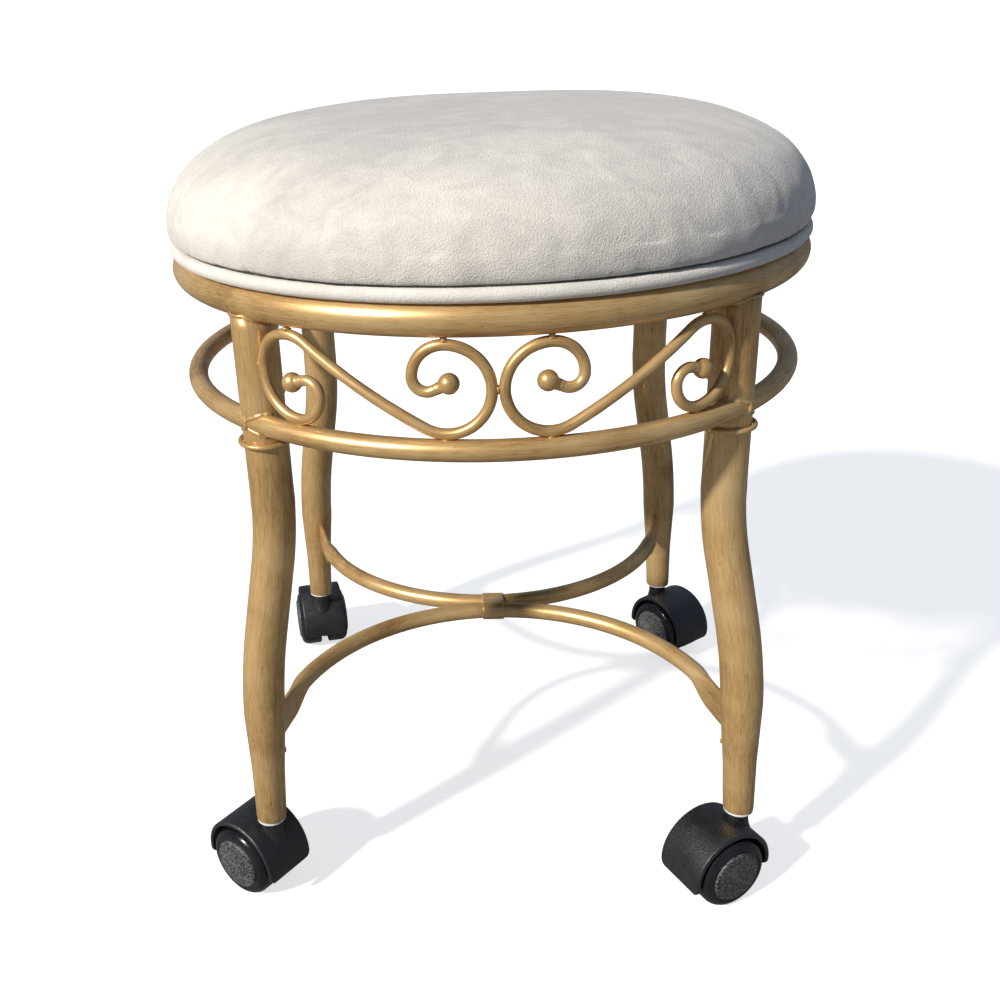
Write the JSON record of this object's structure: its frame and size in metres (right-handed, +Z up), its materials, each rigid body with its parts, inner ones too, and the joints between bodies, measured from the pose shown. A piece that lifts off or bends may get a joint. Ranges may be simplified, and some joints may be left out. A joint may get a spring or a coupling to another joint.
{
  "type": "vanity stool",
  "caption": "Round upholstered vanity stool on an antique gold tube frame with wire scrolls under the seat and swivel twin-wheel casters.",
  "frame": {"origin": "on the floor, on the vertical axis through the middle of the round seat", "axes": "+Z up, the tallest extent; -Y is the front, with the front pair of wire scrolls; +X is to the right seen from the front"},
  "size_m": [0.395, 0.395, 0.4757],
  "materials": {
    "suede": "ivory microsuede with a fine nap",
    "suede_piping": "the same ivory microsuede, stretched over a cord",
    "foam": "open-cell upholstery foam",
    "dust_cloth": "black non-woven dust cloth",
    "plywood": "unfinished plywood",
    "frame_gold": "antique gold with hand-brushed brown streaks, satin",
    "zinc_steel": "zinc-plated steel",
    "white_nylon": "natural white nylon",
    "black_nylon": "black moulded nylon with a fine grain",
    "wheel_nylon": "black moulded nylon, glossy rim round a grained disc"
  },
  "bodies": {
    "frame": {"seat_board": "plywood", "foam_pad": "foam", "cushion_cover": "suede", "welt_cord": "suede_piping", "dust_cover": "dust_cloth", "seat_ring": "frame_gold", "seat_lugs": "frame_gold", "seat_screws": "zinc_steel", "lower_ring_front": "frame_gold", "lower_ring_right": "frame_gold", "lower_ring_rear": "frame_gold", "lower_ring_left": "frame_gold", "leg_front_left": "frame_gold", "leg_front_right": "frame_gold", "leg_rear_left": "frame_gold", "leg_rear_right": "frame_gold", "leg_collars": "frame_gold", "leg_screws": "frame_gold", "scroll_front_left": "frame_gold", "scroll_front_right": "frame_gold", "scroll_rear_left": "frame_gold", "scroll_rear_right": "frame_gold", "scroll_balls_front": "frame_gold", "scroll_balls_rear": "frame_gold", "scroll_welds": "frame_gold", "stretcher_front": "frame_gold", "stretcher_rear": "frame_gold", "stretcher_clamp": "frame_gold", "socket_front_left": "white_nylon", "socket_front_right": "white_nylon", "socket_rear_left": "white_nylon", "socket_rear_right": "white_nylon"},
    "caster_front_left": {"hood_front_left": "black_nylon", "stem_front_left": "zinc_steel", "axle_front_left": "zinc_steel"},
    "wheel_inner_front_left": {"wheel_inner_front_left": "wheel_nylon"},
    "wheel_outer_front_left": {"wheel_outer_front_left": "wheel_nylon"},
    "caster_front_right": {"hood_front_right": "black_nylon", "stem_front_right": "zinc_steel", "axle_front_right": "zinc_steel"},
    "wheel_inner_front_right": {"wheel_inner_front_right": "wheel_nylon"},
    "wheel_outer_front_right": {"wheel_outer_front_right": "wheel_nylon"},
    "caster_rear_left": {"hood_rear_left": "black_nylon", "stem_rear_left": "zinc_steel", "axle_rear_left": "zinc_steel"},
    "wheel_inner_rear_left": {"wheel_inner_rear_left": "wheel_nylon"},
    "wheel_outer_rear_left": {"wheel_outer_rear_left": "wheel_nylon"},
    "caster_rear_right": {"hood_rear_right": "black_nylon", "stem_rear_right": "zinc_steel", "axle_rear_right": "zinc_steel"},
    "wheel_inner_rear_right": {"wheel_inner_rear_right": "wheel_nylon"},
    "wheel_outer_rear_right": {"wheel_outer_rear_right": "wheel_nylon"}
  },
  "joints": [
    {"name": "swivel_front_left", "type": "hinge", "parent": "frame", "child": "caster_front_left", "pos_m": [-0.14879, -0.14879, 0.075], "axis": [0, 0, 1], "continuous": true},
    {"name": "roll_inner_front_left", "type": "hinge", "parent": "caster_front_left", "child": "wheel_inner_front_left", "pos_m": [-0.16157, -0.13916, 0.024], "axis": [-0.6018, -0.7986, 0], "continuous": true},
    {"name": "roll_outer_front_left", "type": "hinge", "parent": "caster_front_left", "child": "wheel_outer_front_left", "pos_m": [-0.16157, -0.13916, 0.024], "axis": [-0.6018, -0.7986, 0], "continuous": true},
    {"name": "swivel_front_right", "type": "hinge", "parent": "frame", "child": "caster_front_right", "pos_m": [0.14879, -0.14879, 0.075], "axis": [0, 0, 1], "continuous": true},
    {"name": "roll_inner_front_right", "type": "hinge", "parent": "caster_front_right", "child": "wheel_inner_front_right", "pos_m": [0.13467, -0.1563, 0.024], "axis": [0.4695, -0.8829, 0], "continuous": true},
    {"name": "roll_outer_front_right", "type": "hinge", "parent": "caster_front_right", "child": "wheel_outer_front_right", "pos_m": [0.13467, -0.1563, 0.024], "axis": [0.4695, -0.8829, 0], "continuous": true},
    {"name": "swivel_rear_left", "type": "hinge", "parent": "frame", "child": "caster_rear_left", "pos_m": [-0.14879, 0.14879, 0.075], "axis": [0, 0, 1], "continuous": true},
    {"name": "roll_inner_rear_left", "type": "hinge", "parent": "caster_rear_left", "child": "wheel_inner_rear_left", "pos_m": [-0.15239, 0.16438, 0.024], "axis": [-0.9744, -0.225, 0], "continuous": true},
    {"name": "roll_outer_rear_left", "type": "hinge", "parent": "caster_rear_left", "child": "wheel_outer_rear_left", "pos_m": [-0.15239, 0.16438, 0.024], "axis": [-0.9744, -0.225, 0], "continuous": true},
    {"name": "swivel_rear_right", "type": "hinge", "parent": "frame", "child": "caster_rear_right", "pos_m": [0.14879, 0.14879, 0.075], "axis": [0, 0, 1], "continuous": true},
    {"name": "roll_inner_rear_right", "type": "hinge", "parent": "caster_rear_right", "child": "wheel_inner_rear_right", "pos_m": [0.15797, 0.13569, 0.024], "axis": [0.8192, 0.5736, 0], "continuous": true},
    {"name": "roll_outer_rear_right", "type": "hinge", "parent": "caster_rear_right", "child": "wheel_outer_rear_right", "pos_m": [0.15797, 0.13569, 0.024], "axis": [0.8192, 0.5736, 0], "continuous": true}
  ]
}
